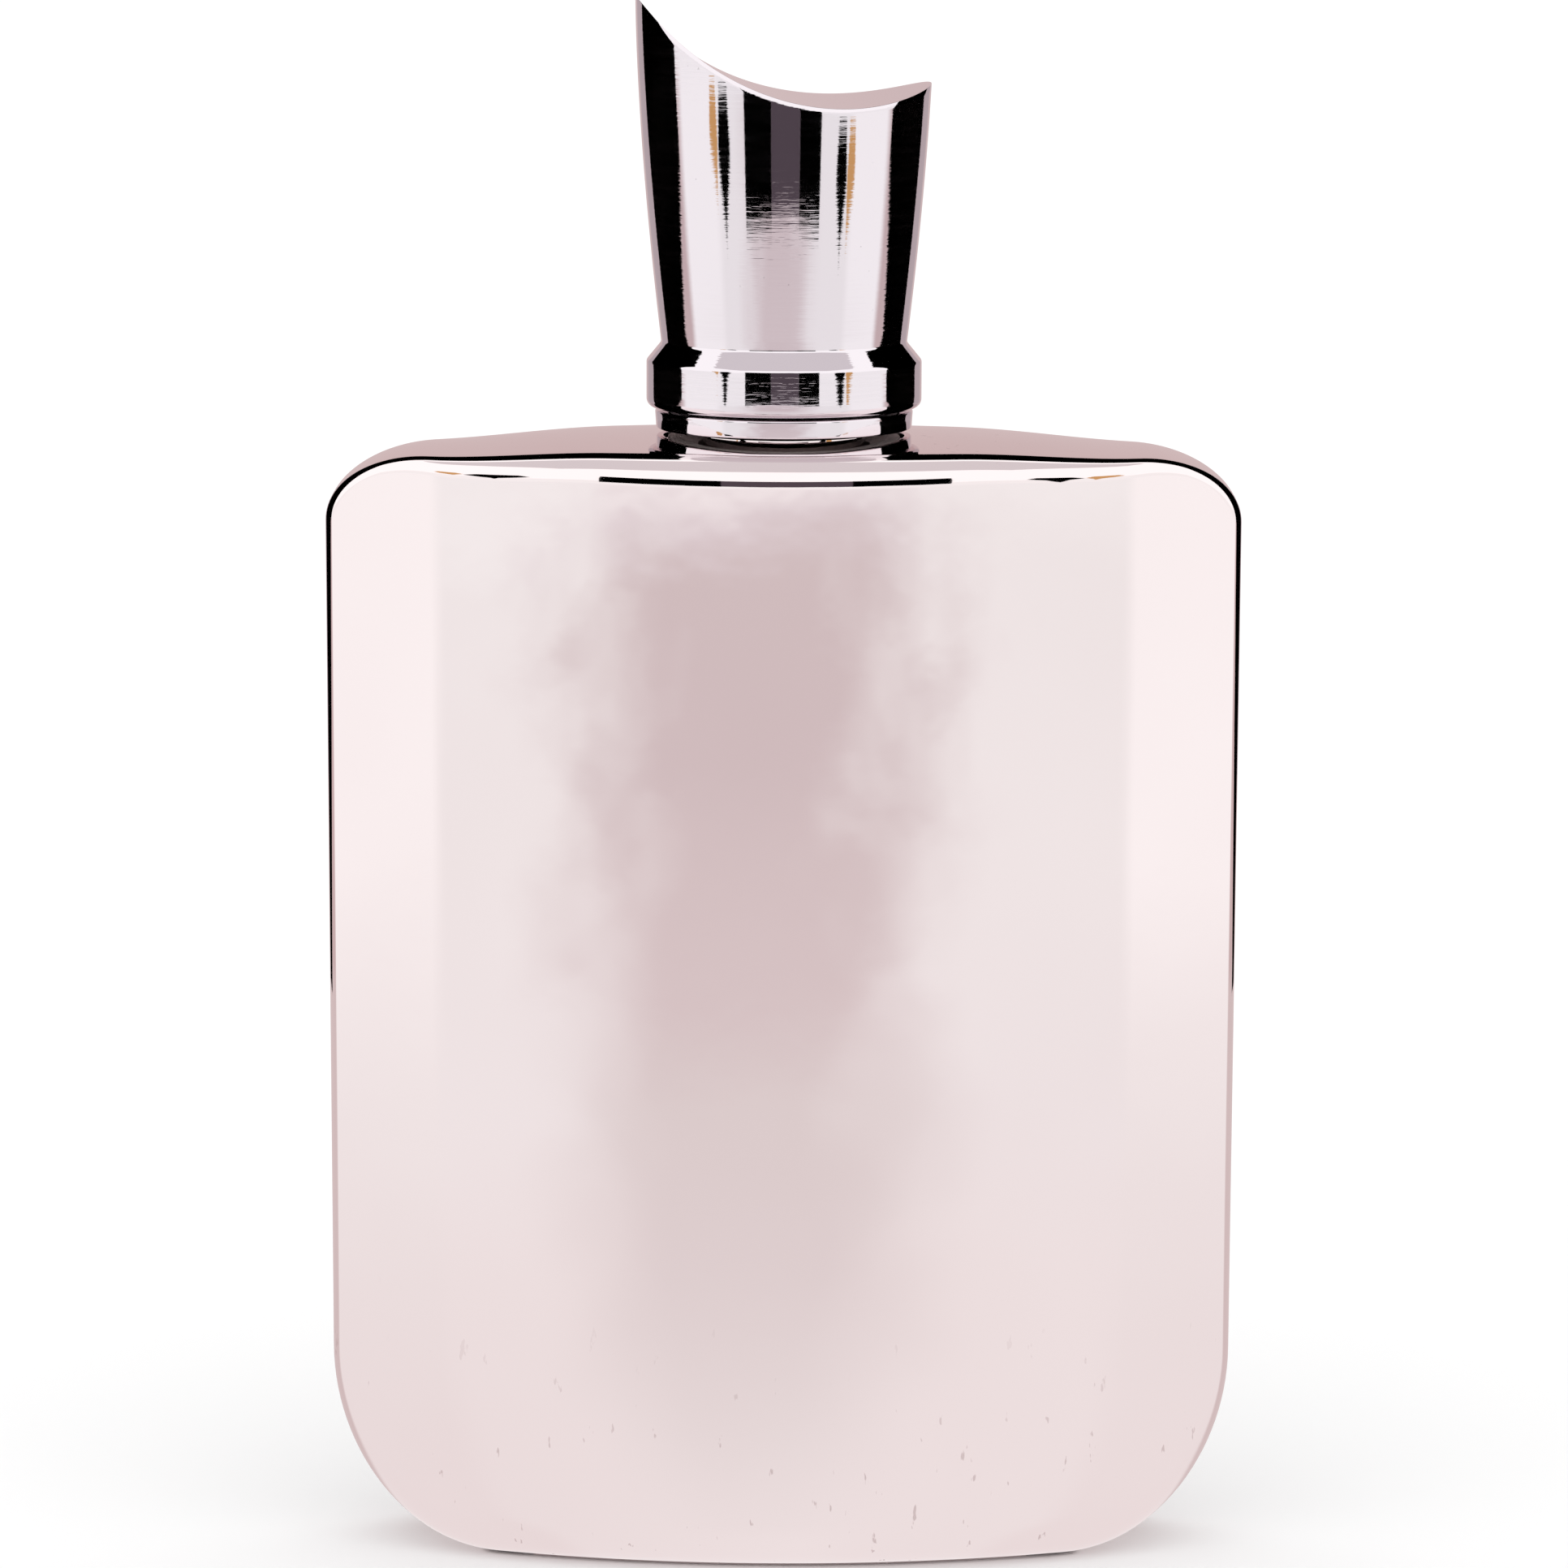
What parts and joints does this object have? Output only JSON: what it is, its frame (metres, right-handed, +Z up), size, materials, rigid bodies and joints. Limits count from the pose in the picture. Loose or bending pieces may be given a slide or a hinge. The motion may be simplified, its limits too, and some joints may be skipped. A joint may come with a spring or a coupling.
{
  "type": "perfume atomiser",
  "caption": "Flask-shaped metallised glass perfume atomiser with a turned metal collar, a crimped spray pump inside, and a flared pull-off cap with a slanted hollowed top.",
  "frame": {"origin": "centre of the flat foot the bottle stands on", "axes": "+Z up along the pump axis, +X along the bottle's width, -Y out of the front face"},
  "size_m": [0.074, 0.0286, 0.1263],
  "materials": {
    "metallised_glass": "glass with a mirror-silver metallised coating outside, faintly pink",
    "polished_chrome": "polished plating",
    "aluminium_sheet": "drawn sheet",
    "spring_steel": "drawn stainless wire",
    "white_plastic": "moulded",
    "natural_plastic": "moulded, unpigmented",
    "grey_plastic": "moulded",
    "grey_rubber": "moulded"
  },
  "bodies": {
    "flacon": {"bottle_glass": "metallised_glass", "collar": "polished_chrome", "collar_liner": "white_plastic", "ferrule": "aluminium_sheet", "neck_gasket": "grey_rubber", "pump_housing": "natural_plastic", "stem_guide": "white_plastic", "stem_seal": "grey_rubber", "dip_tube": "natural_plastic", "return_spring": "spring_steel"},
    "pump_stem": {"stem": "white_plastic", "piston": "natural_plastic", "precompression_spring": "spring_steel"},
    "spray_head": {"actuator_shell": "polished_chrome", "actuator_core": "white_plastic", "nozzle_insert": "grey_plastic"},
    "inlet_ball": {"check_ball": "spring_steel"},
    "cap": {"cap_shell": "polished_chrome", "cap_insert": "white_plastic"}
  },
  "joints": [
    {"name": "stem_slide", "type": "slide", "parent": "flacon", "child": "pump_stem", "axis": [0, 0, 1], "range_m": [-0.004, 0], "stiffness_N_per_m": 1500, "springref_m": 0.004, "deforming": ["return_spring"]},
    {"name": "head_turn", "type": "hinge", "parent": "pump_stem", "child": "spray_head", "pos_m": [0, 0, 0.1078], "axis": [0, 0, 1], "continuous": true},
    {"name": "ball_lift", "type": "slide", "parent": "flacon", "child": "inlet_ball", "axis": [0, 0, 1], "range_m": [0, 0.0008]},
    {"name": "cap_pull", "type": "slide", "parent": "flacon", "child": "cap", "axis": [0, 0, 1], "range_m": [0, 0.035]}
  ]
}
